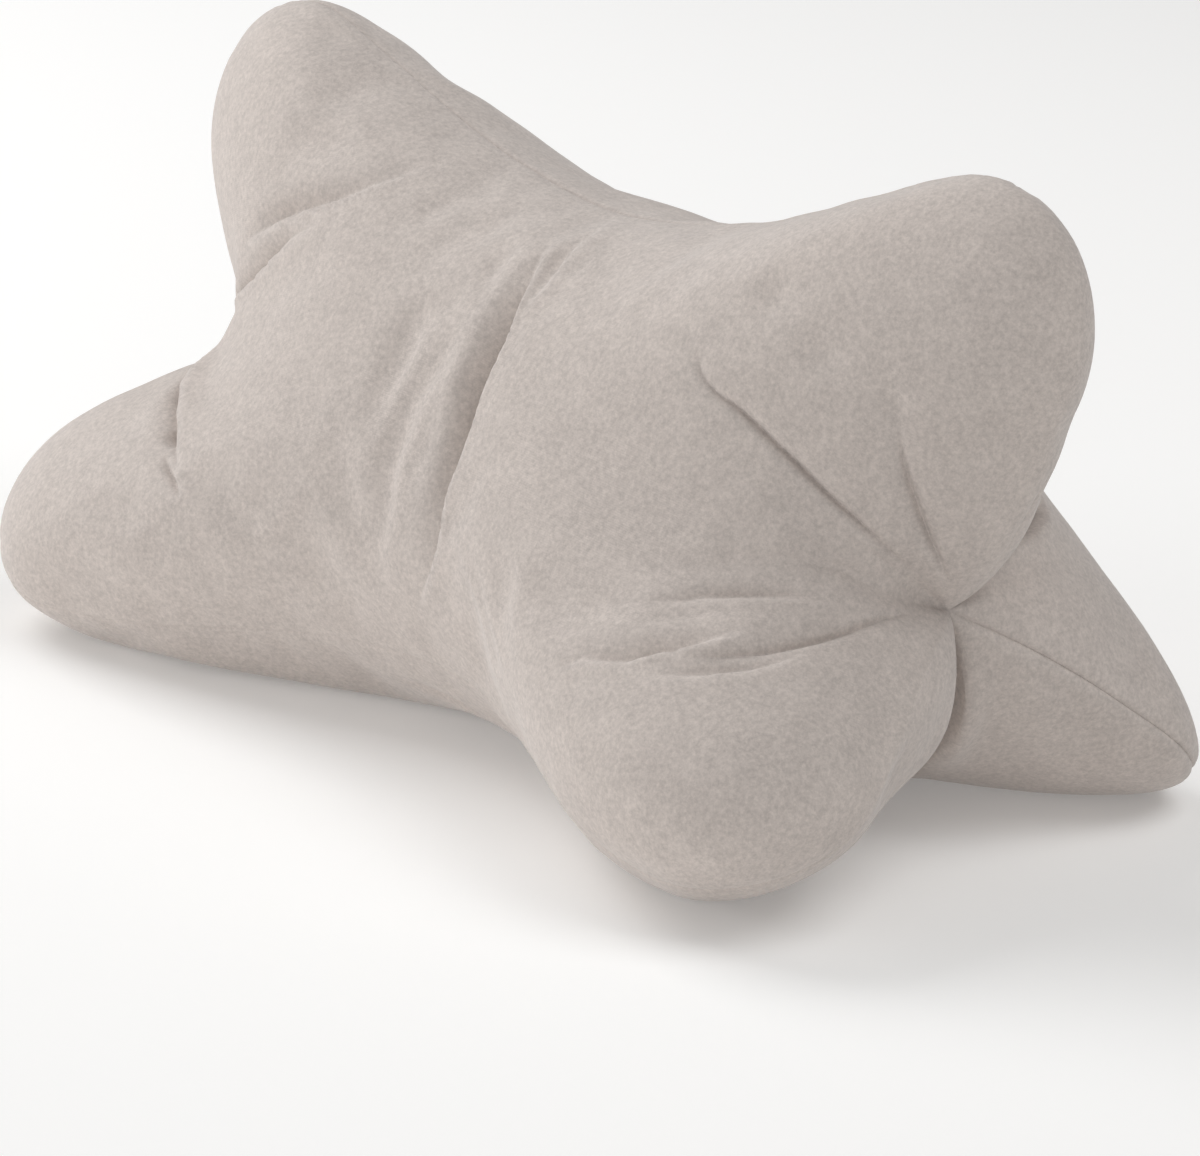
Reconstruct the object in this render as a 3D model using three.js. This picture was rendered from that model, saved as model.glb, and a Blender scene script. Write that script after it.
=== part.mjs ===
// Reading neck pillow: three bone-shaped panels sewn along three seams and filled firm.
//
// The seams run from the middle of one end to the middle of the other, along the crests of
// three rows of lobes: one row on top, one at the front and one at the back. Between the rows
// the filling pushes each panel out into a round belly, and at the ends the three panels are
// drawn in to a point, the pole.
//
// Millimetres. +X is the pillow's length, -Y its front and +Z up. It stands on z = 0.

import * as THREE from 'three';

// Driving sizes. The axis is the line through both poles before the ends curl up.
const WAIST_CREST = 131;    // from the axis to a seam at the middle of the pillow
const WAIST_BELLY = 123;    // from the axis to the middle of a panel, there too
const STAND = 105;          // from the axis down to the floor, which presses the lobes flat
const END_LIFT = 9;         // how far the ends curl up, END_LIFT_AT from the middle
const END_LIFT_AT = 265;
const SEAM_DEPTH = 1.6;     // how far a sewn seam sinks between its two panels
const SEAM_FADE = 0.08;     // over this share of the way from a pole it gets there

// The two ends. pole is the distance of the drawn-in point from the middle of the pillow, and
// square how full a belly runs out to it: 2 is an ellipse, and more is fuller.
const ENDS = {
  right: { pole: 228, square: 3.5 },
  left: { pole: 226, square: 3.1 },
};

// The three rows of lobes. around is the row's place in degrees about the axis, from +Y, and
// slack how much less than WAIST_CREST its seam stands off at the waist. The tip of each lobe is
// an arc of the given radius about a centre, centreX from the middle and centreR from the axis.
// It passes its highest point by past degrees before it runs down to the waist. The lobe leans
// lean degrees about the axis, and thin is how much its sides are drawn together.
const LOBE_ROWS = {
  top: {
    around: 90, slack: -7,
    right: { centreX: 224, centreR: 127, radius: 68, past: 17, lean: -5, thin: 0.17 },
    left: { centreX: 238, centreR: 118, radius: 63, past: 13, lean: -3, thin: 0.20 },
  },
  front: {
    around: 210, slack: 8,
    right: { centreX: 229, centreR: 127, radius: 63, past: -1, lean: -7, thin: 0.09 },
    left: { centreX: 243, centreR: 118, radius: 65, past: 9, lean: 0, thin: 0.16 },
  },
  back: {
    around: 330, slack: 1,
    right: { centreX: 216, centreR: 123, radius: 55, past: 9, lean: -6, thin: 0.26 },
    left: { centreX: 230, centreR: 121, radius: 60, past: 9, lean: -2, thin: 0.20 },
  },
};

// The hollow run from the pole to the tip of a lobe sags by this share of its length.
const RUN_SAG = 0.17;
// The two handles of the curve from the tip down to the waist, as shares of its length.
const SHOULDER = { tip: 0.35, waist: 0.40 };
// How late the shape of a lobe's sides sets in on the way out of the pole and of the waist.
const LOBE_ONSET = 1.2;

// The three panels, each from its first seam to its second. middle is its place in degrees about
// the axis, and slack how much less than WAIST_BELLY it stands off at the waist: the weight
// presses the bottom one.
const PANELS = {
  front: { from: 'top', to: 'front', middle: 150, slack: 0 },
  bottom: { from: 'front', to: 'back', middle: 270, slack: 18 },
  back: { from: 'back', to: 'top', middle: 30, slack: 5 },
};

// How a section runs from a seam to the middle of a panel: a Bezier curve that leaves the seam
// leave degrees off the crest's inward side, less on a lobe. Its two handles are shares of the
// straight distance, at the pole and at the waist.
const SECTION = {
  leave: 92.5,
  leaveLessOnLobe: 15,
  seamHandle: { pole: 0.44, waist: 0.40 },
  bellyHandle: { pole: 0.33, waist: 0.48 },
};

// The main creases of each panel. Each runs through three places, given as [along, across]:
// along is 0 at the right pole, 1 at the waist and 2 at the left pole, and across is 0 at the
// panel's first seam and 1 at its second. A crease is depth deep where it is deepest, that share
// of the way along it, and half as deep at 0.8 of its width to either side. A negative depth
// makes a ridge.
const CREASES = {
  front: [
    // Drawn out of the right pole, above and below the belly.
    { from: [0.03, 0.30], via: [0.17, 0.375], to: [0.48, 0.368], depth: 5.5, width: 9, deepest: 0.5 },
    { from: [0.03, 0.14], via: [0.12, 0.215], to: [0.25, 0.225], depth: 3, width: 8, deepest: 0.6 },
    { from: [0.12, 0.65], via: [0.24, 0.645], to: [0.42, 0.64], depth: 2.5, width: 8, deepest: 0.6 },
    { from: [0.04, 0.795], via: [0.23, 0.752], to: [0.55, 0.755], depth: 4, width: 8, deepest: 0.6 },
    { from: [0.34, 0.28], via: [0.43, 0.30], to: [0.51, 0.275], depth: 2, width: 9, deepest: 0.5 },
    // Gathered round the waist.
    { from: [0.94, 0.15], via: [0.905, 0.49], to: [0.955, 0.80], depth: 7, width: 10, deepest: 0.5 },
    { from: [1.12, 0.30], via: [1.15, 0.48], to: [1.10, 0.66], depth: 4, width: 10, deepest: 0.5 },
    { from: [1.02, 0.22], via: [1.04, 0.42], to: [1.03, 0.60], depth: -2, width: 9, deepest: 0.5 },
    // Drawn out of the left pole, above and below the belly.
    { from: [1.92, 0.40], via: [1.70, 0.412], to: [1.49, 0.376], depth: 5, width: 9, deepest: 0.4 },
    { from: [1.72, 0.365], via: [1.48, 0.335], to: [1.21, 0.135], depth: 3, width: 8, deepest: 0.4 },
    { from: [1.95, 0.59], via: [1.76, 0.622], to: [1.54, 0.66], depth: 8, width: 11, deepest: 0.5 },
    { from: [1.57, 0.668], via: [1.43, 0.71], to: [1.27, 0.81], depth: 3, width: 8, deepest: 0.4 },
  ],
  bottom: [
    // Between the two feet at each end, and beside the front seam at the waist.
    { from: [0.02, 0.66], via: [0.08, 0.61], to: [0.22, 0.575], depth: 7, width: 9, deepest: 0.4 },
    { from: [1.98, 0.46], via: [1.90, 0.45], to: [1.76, 0.47], depth: 6, width: 9, deepest: 0.4 },
    { from: [1.10, 0.02], via: [1.03, 0.09], to: [0.96, 0.20], depth: 4, width: 8, deepest: 0.5 },
  ],
  back: [
    // Drawn out of both poles, and gathered round the waist.
    { from: [0.04, 0.64], via: [0.20, 0.62], to: [0.46, 0.65], depth: 4.5, width: 9, deepest: 0.4 },
    { from: [0.05, 0.30], via: [0.20, 0.34], to: [0.42, 0.33], depth: 3.5, width: 9, deepest: 0.4 },
    { from: [1.95, 0.62], via: [1.78, 0.61], to: [1.52, 0.64], depth: 4.5, width: 9, deepest: 0.4 },
    { from: [1.94, 0.33], via: [1.76, 0.36], to: [1.50, 0.33], depth: 4, width: 9, deepest: 0.4 },
    { from: [1.06, 0.20], via: [1.09, 0.50], to: [1.05, 0.84], depth: 5, width: 10, deepest: 0.5 },
    { from: [0.90, 0.30], via: [0.87, 0.52], to: [0.91, 0.76], depth: 3.5, width: 10, deepest: 0.5 },
  ],
};

// Resolution: stations from a pole to the waist, and the shares of the way from a seam to the
// middle of its panel at which each station has a point. The second lies close to the seam.
const STATIONS = 41;
const SHARES = [0, 0.03, 0.12, 0.23, 0.34, 0.45, 0.56, 0.67, 0.78, 0.89, 1];
// The belly's stations crowd towards the pole below 1.
const BELLY_CROWD = 0.66;
const CREASE_STEPS = 14;

// The soft cover's colour and finish.
const COVER = { color: 0xb9b0aa, roughness: 0.95, metalness: 0 };

// Worked out from the above: how far across each point of a panel's row lies, the points of a
// whole row round the pillow, and the rows between the poles.
const ACROSS = [
  ...SHARES.slice(0, -1).map((share) => share / 2),
  ...SHARES.slice(1).reverse().map((share) => 1 - share / 2),
];
const PER_ROW = ACROSS.length * Object.keys(PANELS).length;
const ROW_COUNT = 2 * STATIONS - 3;

const AXIS = new THREE.Vector3(1, 0, 0);
const { degToRad, lerp, smoothstep } = THREE.MathUtils;

// 0 at the pole and 1 at the waist; and 1 on the lobes with 0 at both.
const toWaist = (share) => Math.sin(share * Math.PI / 2) ** 2;
const onLobe = (share) => Math.sin(share * Math.PI) ** LOBE_ONSET;

// A unit vector straight out from the axis, and one round it in the way of rising angle.
const outward = (angle) => new THREE.Vector3(0, Math.cos(angle), Math.sin(angle));
const onward = (angle) => new THREE.Vector3(0, -Math.sin(angle), Math.cos(angle));

// The crest of a lobe in its own plane, as a path of (along the axis, out from it): the hollow
// run out of the pole, the round tip, and the shoulder down to the waist.
function crestPath(lobe, pole, waist) {
  const start = new THREE.Vector2(pole, 0);
  const centre = new THREE.Vector2(lobe.centreX, lobe.centreR);
  const reach = centre.clone().sub(start);
  const heading = reach.angle() - Math.asin(lobe.radius / reach.length());
  const run = Math.sqrt(reach.lengthSq() - lobe.radius ** 2);
  const ahead = new THREE.Vector2(Math.cos(heading), Math.sin(heading));
  const aside = new THREE.Vector2(-ahead.y, ahead.x);
  const onRun = (share, sag) => start.clone()
    .addScaledVector(ahead, run * share)
    .addScaledVector(aside, -run * sag);
  const touch = onRun(1, 0);
  const hollow = new THREE.CubicBezierCurve(
    start,
    onRun(1 / 3, RUN_SAG),
    onRun(2 / 3, RUN_SAG / 2),
    touch,
  );

  const leave = Math.PI / 2 + degToRad(lobe.past);
  const tip = new THREE.EllipseCurve(
    centre.x,
    centre.y,
    lobe.radius,
    lobe.radius,
    touch.clone().sub(centre).angle(),
    leave,
  );

  const high = tip.getPoint(1);
  const low = new THREE.Vector2(0, waist);
  const span = high.distanceTo(low);
  const onwardFromTip = new THREE.Vector2(-Math.sin(leave), Math.cos(leave));
  const shoulder = new THREE.CubicBezierCurve(
    high,
    high.clone().addScaledVector(onwardFromTip, span * SHOULDER.tip),
    new THREE.Vector2(span * SHOULDER.waist, waist),
    low,
  );

  const path = new THREE.CurvePath();
  [hollow, tip, shoulder].forEach((curve) => path.add(curve));
  return path;
}

// The middle of a panel from the pole to the waist, in the same (along, out) plane.
class BellyCurve extends THREE.Curve {
  constructor(pole, waist, square) {
    super();
    Object.assign(this, { pole, waist, power: 2 / square });
  }

  getPoint(share) {
    const turn = share * Math.PI / 2;
    return new THREE.Vector2(
      this.pole * Math.max(Math.cos(turn), 0) ** this.power,
      this.waist * Math.sin(turn) ** this.power,
    );
  }
}

// The curves of one end: the crest of each of its lobes, and the middle of each panel.
function endCurves(end) {
  const { pole, square } = ENDS[end];
  const crests = {};
  for (const [name, row] of Object.entries(LOBE_ROWS)) {
    crests[name] = crestPath(row[end], pole, WAIST_CREST - row.slack);
  }
  const bellies = {};
  for (const [name, panel] of Object.entries(PANELS)) {
    bellies[name] = new BellyCurve(pole, WAIST_BELLY - panel.slack, square);
  }
  return { crests, bellies };
}

const CURVES = { right: endCurves('right'), left: endCurves('left') };

// A point of the smooth pillow, along and across a panel as in the table of creases.
function onPanel(panelName, along, across) {
  const panel = PANELS[panelName];
  const end = along <= 1 ? 'right' : 'left';
  const share = along <= 1 ? along : 2 - along;
  const side = across <= 0.5 ? 1 : -1;
  const rowName = side === 1 ? panel.from : panel.to;
  const row = LOBE_ROWS[rowName];
  const lobe = row[end];
  const waistward = toWaist(share);
  const lobeward = onLobe(share);

  const crest = CURVES[end].crests[rowName];
  const at = crest.getPoint(share);
  const way = crest.getTangent(share);
  const angle = degToRad(row.around + lobe.lean * lobeward);
  const seam = outward(angle).multiplyScalar(at.y).addScaledVector(AXIS, at.x);
  const inward = outward(angle).multiplyScalar(way.x).addScaledVector(AXIS, -way.y);

  const belly = CURVES[end].bellies[panelName].getPointAt(share ** BELLY_CROWD);
  const middleAngle = degToRad(panel.middle);
  const middle = outward(middleAngle).multiplyScalar(belly.y).addScaledVector(AXIS, belly.x);

  const leave = degToRad(SECTION.leave - SECTION.leaveLessOnLobe * lobeward);
  const { seamHandle, bellyHandle } = SECTION;
  const span = seam.distanceTo(middle);
  const first = span * (lerp(seamHandle.pole, seamHandle.waist, waistward) - lobe.thin * lobeward);
  const second = span * lerp(bellyHandle.pole, bellyHandle.waist, waistward);
  const section = new THREE.CubicBezierCurve3(
    seam,
    seam.clone()
      .addScaledVector(onward(angle), first * side * Math.sin(leave))
      .addScaledVector(inward, first * Math.cos(leave)),
    middle.clone().addScaledVector(onward(middleAngle), -side * second),
    middle,
  );

  const point = section.getPoint(side === 1 ? across * 2 : (1 - across) * 2);
  if (end === 'left') point.x = -point.x;
  point.z += END_LIFT * (point.x / END_LIFT_AT) ** 2;
  return point;
}

// Every point of the smooth pillow between its poles: a row round it at each station, panel
// after panel, from each panel's first seam up to its second.
function smoothRows() {
  const rows = [];
  for (let station = 1; station <= ROW_COUNT; station += 1) {
    const along = station / (STATIONS - 1);
    rows.push(Object.keys(PANELS).flatMap(
      (panelName) => ACROSS.map((across) => onPanel(panelName, along, across)),
    ));
  }
  return rows;
}

// The way out of the pillow at one point of a row, from its four neighbours.
function wayOut(rows, poles, i, j) {
  const before = i > 0 ? rows[i - 1][j] : poles.right;
  const after = i < ROW_COUNT - 1 ? rows[i + 1][j] : poles.left;
  const previous = rows[i][(j + PER_ROW - 1) % PER_ROW];
  const next = rows[i][(j + 1) % PER_ROW];
  const along = after.clone().sub(before);
  const round = next.clone().sub(previous);
  return round.cross(along).normalize();
}

// A crease with the path that it takes over the smooth pillow, through its three places.
function layCrease(panelName, crease) {
  const path = [];
  for (let step = 0; step <= CREASE_STEPS; step += 1) {
    const t = step / CREASE_STEPS;
    const [along, across] = [0, 1].map((k) => (
      crease.from[k] * (1 - t) * (1 - 2 * t)
      + crease.via[k] * 4 * t * (1 - t)
      + crease.to[k] * t * (2 * t - 1)
    ));
    path.push(onPanel(panelName, along, across));
  }
  return { ...crease, path };
}

// How deep one crease is at a point: round across it, and fading out towards its ends.
function creaseDepth(point, crease) {
  const { path, depth, width, deepest } = crease;
  const stretch = new THREE.Line3();
  const foot = new THREE.Vector3();
  let nearest = Infinity;
  let share = 0;
  for (let step = 0; step < CREASE_STEPS; step += 1) {
    stretch.set(path[step], path[step + 1]);
    const t = stretch.closestPointToPointParameter(point, true);
    const distance = stretch.at(t, foot).distanceTo(point);
    if (distance < nearest) {
      nearest = distance;
      share = (step + t) / CREASE_STEPS;
    }
  }
  const rise = share < deepest ? share / deepest : (1 - share) / (1 - deepest);
  return depth * smoothstep(rise, 0, 1) * Math.exp(-((nearest / width) ** 2));
}

// The points of the finished pillow, from the right pole to the left: the smooth rows, sunk
// along the creases and the seams, and pressed flat by the floor.
function pillowPoints() {
  const poles = { right: onPanel('front', 0, 0), left: onPanel('front', 2, 0) };
  const creases = Object.entries(CREASES).flatMap(
    ([panelName, list]) => list.map((crease) => layCrease(panelName, crease)),
  );
  const rows = smoothRows();
  const points = rows.flatMap((row, i) => {
    const fromPole = Math.min(i + 1, ROW_COUNT - i) / (STATIONS - 1);
    const seamSink = SEAM_DEPTH * smoothstep(fromPole, 0, SEAM_FADE);
    return row.map((smooth, j) => {
      let sink = j % ACROSS.length === 0 ? seamSink : 0;
      for (const crease of creases) {
        sink += creaseDepth(smooth, crease);
      }
      const point = smooth.clone().addScaledVector(wayOut(rows, poles, i, j), -sink);
      point.z = Math.max(point.z, -STAND);
      return point;
    });
  });
  return [poles.right, ...points, poles.left];
}

// The triangles between the rows, and from the first and last row to the poles.
function pillowFaces() {
  const last = ROW_COUNT * PER_ROW + 1;
  const place = (i, j) => 1 + i * PER_ROW + (j % PER_ROW);
  const faces = [];
  for (let j = 0; j < PER_ROW; j += 1) {
    faces.push(0, place(0, j), place(0, j + 1));
    faces.push(last, place(ROW_COUNT - 1, j + 1), place(ROW_COUNT - 1, j));
    for (let i = 0; i < ROW_COUNT - 1; i += 1) {
      faces.push(place(i, j), place(i + 1, j), place(i + 1, j + 1));
      faces.push(place(i, j), place(i + 1, j + 1), place(i, j + 1));
    }
  }
  return faces;
}

// The whole filled pillow, moved so that it stands on z = 0 about the middle of its length
// and width.
function pillow() {
  const geometry = new THREE.BufferGeometry().setFromPoints(pillowPoints());
  geometry.setIndex(pillowFaces());
  geometry.computeBoundingBox();
  const { min, max } = geometry.boundingBox;
  geometry.translate(-(min.x + max.x) / 2, -(min.y + max.y) / 2, -min.z);
  geometry.computeVertexNormals();
  const mesh = new THREE.Mesh(geometry, new THREE.MeshStandardMaterial(COVER));
  mesh.name = 'pillow';
  return mesh;
}

const group = new THREE.Group();
group.add(pillow());

export default group;
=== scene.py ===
# %% [markdown]
# # A reading neck pillow, sewn from three panels
#
# The pillow is three bone-shaped pieces of jersey, sewn together along three seams and filled
# so firmly that every seam stands up as a row of two lobes with a narrow waist between them.
# This file dresses the plain solid of the frame: it sews and fills the cover, lays its creases,
# and gives it its soft marled jersey. Lengths are in millimetres while the cover is cut and
# sewn, as a maker measures them, and in metres once it is a Blender mesh.

# %% Tools and the frame
import math
from collections import namedtuple

import bmesh
import bpy
import numpy as np
from mathutils import Matrix, Vector, noise


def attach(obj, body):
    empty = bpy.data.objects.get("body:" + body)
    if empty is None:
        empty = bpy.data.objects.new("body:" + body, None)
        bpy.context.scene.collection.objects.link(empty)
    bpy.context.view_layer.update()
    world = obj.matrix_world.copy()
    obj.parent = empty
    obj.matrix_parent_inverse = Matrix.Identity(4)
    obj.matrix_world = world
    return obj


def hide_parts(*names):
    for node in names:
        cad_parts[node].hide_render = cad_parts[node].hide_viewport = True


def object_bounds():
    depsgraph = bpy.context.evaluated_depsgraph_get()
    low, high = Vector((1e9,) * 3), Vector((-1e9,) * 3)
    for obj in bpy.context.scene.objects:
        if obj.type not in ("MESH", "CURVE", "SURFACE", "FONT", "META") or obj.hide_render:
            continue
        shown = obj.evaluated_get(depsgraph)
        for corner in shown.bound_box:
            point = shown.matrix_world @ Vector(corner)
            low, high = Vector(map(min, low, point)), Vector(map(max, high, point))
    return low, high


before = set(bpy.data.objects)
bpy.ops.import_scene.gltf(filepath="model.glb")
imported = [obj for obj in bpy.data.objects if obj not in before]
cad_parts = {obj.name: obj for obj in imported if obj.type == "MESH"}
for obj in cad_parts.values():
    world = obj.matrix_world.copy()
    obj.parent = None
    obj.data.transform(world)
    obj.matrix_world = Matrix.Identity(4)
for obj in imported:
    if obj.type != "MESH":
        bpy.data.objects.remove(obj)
cad_low, cad_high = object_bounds()
scene = bpy.context.scene
MM = 0.001
print("solid's corners:", tuple(cad_low), tuple(cad_high))

# %% [markdown]
# ## Where the picture is taken from
#
# The pillow is seen from its right end, a little above it, through a long lens: its far end
# looks nearly as large as its near one. The direction is written as an angle round the pillow,
# one above the floor and a small roll, so that each can be read off and changed by itself.
# The camera's three axes are worked out from them and become the columns of its matrix.

# %% Camera
VIEW_ROUND = math.radians(50.0)     # from the front, towards the right end
VIEW_ABOVE = math.radians(17.863)
VIEW_ROLL = math.radians(1.495)
VIEW_FROM = 3.0464                  # metres from the point that it looks at
LOOK_AT = Vector((0.10447, -0.07905, 0.10910))
LENS = 205.8                        # mm, on a sensor SENSOR mm wide
SENSOR = 36.0

backward = Vector((
    math.sin(VIEW_ROUND) * math.cos(VIEW_ABOVE),
    -math.cos(VIEW_ROUND) * math.cos(VIEW_ABOVE),
    math.sin(VIEW_ABOVE),
))
level = Vector((math.cos(VIEW_ROUND), math.sin(VIEW_ROUND), 0))
upright = backward.cross(level)
rightward = level * math.cos(VIEW_ROLL) + upright * math.sin(VIEW_ROLL)
upward = upright * math.cos(VIEW_ROLL) - level * math.sin(VIEW_ROLL)

camera = bpy.data.objects.new("camera", bpy.data.cameras.new("camera"))
camera.data.sensor_fit = "HORIZONTAL"
camera.data.sensor_width = SENSOR
camera.data.lens = LENS
camera.matrix_world = Matrix.Translation(LOOK_AT + backward * VIEW_FROM) @ Matrix(
    (rightward, upward, backward)
).transposed().to_4x4()
scene.collection.objects.link(camera)
scene.camera = camera
print("camera stands at:", tuple(round(c, 3) for c in camera.matrix_world.translation))

# %% [markdown]
# ## The pattern of the filled cover
#
# Filled, each seam is a curve from the middle of one end, the pole, over one lobe, down to the
# waist and over the other lobe to the other pole. Each panel bellies out between its two seams.
# The shape could be carved out of a ball or inflated from flat cloth, but then its lobes would
# land where they like. Here the seams and bellies are drawn as curves from sizes fitted to the
# real one, the same as the solid's, so the cover can be fine and still fits the frame.

# %% Sizes of the waist and the ends
# Pole is how far an end's pole is from the waist, and square how full a belly runs out to it:
# 2 is an ellipse, and more is fuller.
End = namedtuple("End", "pole square")
WAIST_CREST = 131       # from the axis to a seam at the waist, less the row's slack
WAIST_BELLY = 123       # from the axis to the middle of a panel there, less the panel's slack
STAND = 105             # from the axis down to the floor
END_LIFT = 9            # how far the ends curl up, END_LIFT_AT from the waist
END_LIFT_AT = 265
ENDS = {"right": End(228, 3.5), "left": End(226, 3.1)}
# The filling pushes each pole by this much. MORE_PUSH is the share that is added close to it,
# and MORE_FADE where that has faded, on a seam and on the middle of a belly.
POLE_PUSH = {"right": (7.3, -6.1, 3.1), "left": (-5.0, -3.0, 2.0)}
PUSH_FADE = 0.2         # of the way from a pole to the waist
MORE_PUSH = 0.6
MORE_FADE = (0.03, 0.10)

# %% Rows of lobes, and the panels between them
# The tip of a lobe is an arc about a centre, centre_x from the waist and centre_out from the
# axis. It turns past degrees beyond its highest point. The lobe leans lean degrees about the
# axis, and thin is how much its sides are drawn together. Around and middle are degrees about
# the axis, from the back's side, and slack is how much less a row or a panel stands off it at
# the waist.
Lobe = namedtuple("Lobe", "centre_x centre_out radius past lean thin")
Row = namedtuple("Row", "around slack right left")
Panel = namedtuple("Panel", "first second middle slack")
ROWS = {
    "top": Row(90, -7, Lobe(224, 127, 68, 17, -5, 0.17), Lobe(238, 118, 63, 13, -3, 0.20)),
    "front": Row(210, 8, Lobe(229, 127, 63, -1, -7, 0.09), Lobe(243, 118, 65, 9, 0, 0.16)),
    "back": Row(330, 1, Lobe(216, 123, 55, 9, -6, 0.26), Lobe(230, 121, 60, 9, -2, 0.20)),
}
PANELS = {
    "front": Panel("top", "front", 150, 0),
    "bottom": Panel("front", "back", 270, 18),
    "back": Panel("back", "top", 30, 5),
}
print("seams:", list(ROWS), "panels:", list(PANELS))

# %% How the curves run
RUN_SAG = 0.17                          # of the hollow run from a pole to the tip of a lobe
SHOULDER_TIP, SHOULDER_WAIST = 0.35, 0.40   # handles of the run from there down to the waist
LEAVE, LEAVE_LESS_ON_LOBE = 92.5, 15    # degrees, how a section leaves its seam
LOBE_ONSET = 1.2                        # how late a lobe's sides take on their shape
SEAM_HANDLE = (0.44, 0.40)              # at the pole and at the waist
BELLY_HANDLE = (0.33, 0.48)
BELLY_CROWD = 0.66                      # below 1, a belly's points crowd towards the pole
SAMPLES = 900                           # points on each drawn curve


# %% Curves by length
def line_length(line):
    return np.linalg.norm(np.diff(line, axis=0), axis=1).sum()


def share_of_length(line):
    run = np.concatenate([[0], np.cumsum(np.linalg.norm(np.diff(line, axis=0), axis=1))])
    return run / run[-1]


def at_share(line, share):
    run = share_of_length(line)
    return np.stack([np.interp(share, run, line[:, k]) for k in range(line.shape[1])], -1)


def bezier(start, first, second, end, share):
    s = share[..., None]
    return (
        start * (1 - s) ** 3
        + first * 3 * s * (1 - s) ** 2
        + second * 3 * s * s * (1 - s)
        + end * s ** 3
    )


# %% The crest of a lobe and the belly of a panel, as (along the axis, out from it)
def crest_line(lobe, pole, waist):
    s = np.linspace(0, 1, SAMPLES)
    start = np.array([pole, 0.0])
    centre = np.array([lobe.centre_x, lobe.centre_out], float)
    reach = centre - start
    far = np.hypot(*reach)
    heading = math.atan2(reach[1], reach[0]) - math.asin(lobe.radius / far)
    run = math.sqrt(far ** 2 - lobe.radius ** 2)
    ahead = np.array([math.cos(heading), math.sin(heading)]) * run
    aside = np.array([-ahead[1], ahead[0]])
    touch = start + ahead
    hollow = bezier(
        start,
        start + ahead / 3 - aside * RUN_SAG,
        start + ahead * 2 / 3 - aside * RUN_SAG / 2,
        touch,
        s,
    )
    leave = math.pi / 2 + math.radians(lobe.past)
    arrive = math.atan2(*(touch - centre)[::-1])
    turn = arrive + s * ((leave - arrive) % (2 * math.pi))
    tip = centre + lobe.radius * np.stack([np.cos(turn), np.sin(turn)], -1)
    low = np.array([0.0, waist])
    span = np.hypot(*(tip[-1] - low))
    shoulder = bezier(
        tip[-1],
        tip[-1] + span * SHOULDER_TIP * np.array([-math.sin(leave), math.cos(leave)]),
        np.array([span * SHOULDER_WAIST, waist]),
        low,
        s,
    )
    return np.concatenate([hollow, tip[1:], shoulder[1:]])


def belly_line(pole, waist, square):
    turn = np.linspace(0, math.pi / 2, 2 * SAMPLES)
    power = 2 / square
    return np.stack([pole * np.cos(turn).clip(0) ** power, waist * np.sin(turn) ** power], -1)


CRESTS = {
    (name, end): crest_line(getattr(row, end), ENDS[end].pole, WAIST_CREST - row.slack)
    for name, row in ROWS.items()
    for end in ENDS
}
BELLIES = {
    (name, end): belly_line(ENDS[end].pole, WAIST_BELLY - panel.slack, ENDS[end].square)
    for name, panel in PANELS.items()
    for end in ENDS
}
for (name, end), line in CRESTS.items():
    print(f"{name} seam, {end} half: {line_length(line):.0f} mm")

# %% [markdown]
# ## A point anywhere on a panel
#
# A tailor finds a point on a panel by how far along it lies and how far across. Along runs from
# 0 at the right pole over 1 at the waist to 2 at the left pole, and across from 0 at the
# panel's first seam to 1 at its second. Everything that follows, the grid of the cover and
# every crease on it, is placed with these two numbers.

# %% The function of the panels
AXIS = np.array([1.0, 0.0, 0.0])
TANGENT_STEP = 0.0005


def outward(angle):
    return np.stack([0 * angle, np.cos(angle), np.sin(angle)], -1)


def onward(angle):
    return np.stack([0 * angle, -np.sin(angle), np.cos(angle)], -1)


def between(pair, share):
    return pair[0] + (pair[1] - pair[0]) * share


def half_panel(name, end, side, share, t):
    panel = PANELS[name]
    row_name = panel.first if side == 1 else panel.second
    row = ROWS[row_name]
    lobe = getattr(row, end)
    waistward = np.sin(share * math.pi / 2) ** 2
    lobeward = np.sin(share * math.pi).clip(0) ** LOBE_ONSET

    crest = CRESTS[row_name, end]
    at = at_share(crest, share)
    way = at_share(crest, (share + TANGENT_STEP).clip(0, 1))
    way = way - at_share(crest, (share - TANGENT_STEP).clip(0, 1))
    way /= np.linalg.norm(way, axis=-1, keepdims=True)
    angle = np.radians(row.around + lobe.lean * lobeward)
    seam = AXIS * at[..., :1] + outward(angle) * at[..., 1:]
    inward = AXIS * -way[..., 1:] + outward(angle) * way[..., :1]

    belly = at_share(BELLIES[name, end], share ** BELLY_CROWD)
    mid = np.radians(panel.middle) + 0 * share
    middle = AXIS * belly[..., :1] + outward(mid) * belly[..., 1:]

    leave = np.radians(LEAVE - LEAVE_LESS_ON_LOBE * lobeward)[..., None]
    span = np.linalg.norm(seam - middle, axis=-1, keepdims=True)
    first = span * (between(SEAM_HANDLE, waistward) - lobe.thin * lobeward)[..., None]
    second = span * between(BELLY_HANDLE, waistward)[..., None]
    return bezier(
        seam,
        seam + onward(angle) * first * side * np.sin(leave) + inward * first * np.cos(leave),
        middle - onward(mid) * side * second,
        middle,
        t,
    )


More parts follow.
